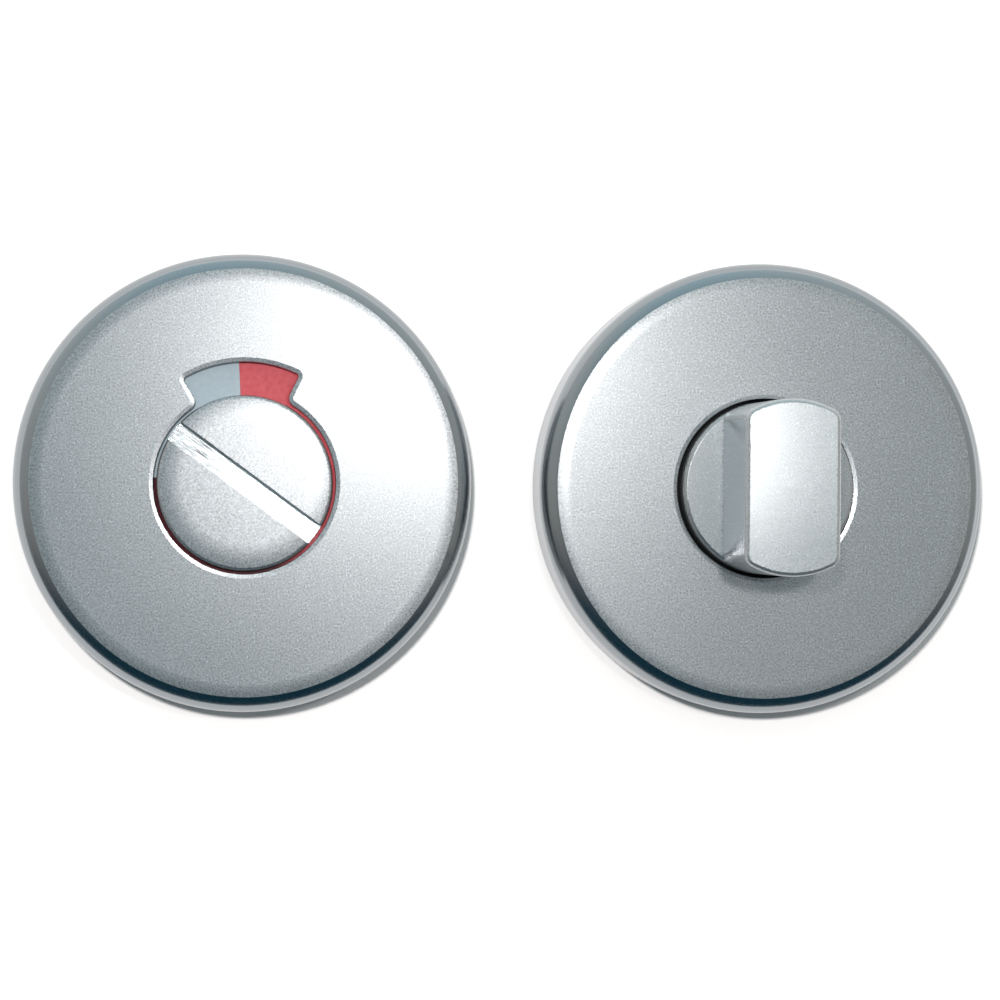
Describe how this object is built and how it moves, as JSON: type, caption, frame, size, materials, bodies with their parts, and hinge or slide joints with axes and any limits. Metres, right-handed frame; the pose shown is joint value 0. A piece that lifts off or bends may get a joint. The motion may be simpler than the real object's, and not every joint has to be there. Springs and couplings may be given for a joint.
{
  "type": "bathroom thumb turn lock",
  "caption": "Bathroom turn and release set: a round rose with coin slot and indicator window, and a round rose with a thumb turn, which work a door lock from both sides.",
  "frame": {"origin": "on the door faces, midway between the two turning axes", "axes": "+X from the release to the thumb turn, +Y up on the door, +Z out of the door"},
  "size_m": [0.1119, 0.052, 0.0233],
  "materials": {
    "satin_aluminium": "satin anodised",
    "turned_aluminium": "fine turned and satin anodised",
    "black_nylon": "glass filled, moulded",
    "white_acetal": "moulded",
    "red_indicator": "painted",
    "grey_indicator": "painted",
    "spring_steel": "oiled",
    "brass": "turned"
  },
  "bodies": {
    "roses": {"release_cover": "satin_aluminium", "release_base_plate": "black_nylon", "release_threaded_inserts": "brass", "release_bush": "white_acetal", "turn_cover": "satin_aluminium", "turn_base_plate": "black_nylon", "turn_bush": "white_acetal"},
    "release": {"coin_release": "turned_aluminium", "indicator_disc": "red_indicator", "vacant_segment": "grey_indicator", "release_spring_washer": "spring_steel", "release_thrust_washer": "spring_steel", "release_retaining_ring": "spring_steel"},
    "turn": {"thumb_turn": "turned_aluminium", "turn_spring_washer": "spring_steel", "turn_thrust_washer": "spring_steel", "turn_retaining_ring": "spring_steel"}
  },
  "joints": [
    {"name": "release_turning", "type": "hinge", "parent": "roses", "child": "release", "pos_m": [-0.02995, 0, 0], "axis": [0, 0, 1], "range_deg": [-51.5, 38.5]},
    {"name": "thumb_turning", "type": "hinge", "parent": "roses", "child": "turn", "pos_m": [0.02995, 0, 0], "axis": [0, 0, 1], "range_deg": [-90, 0]}
  ]
}
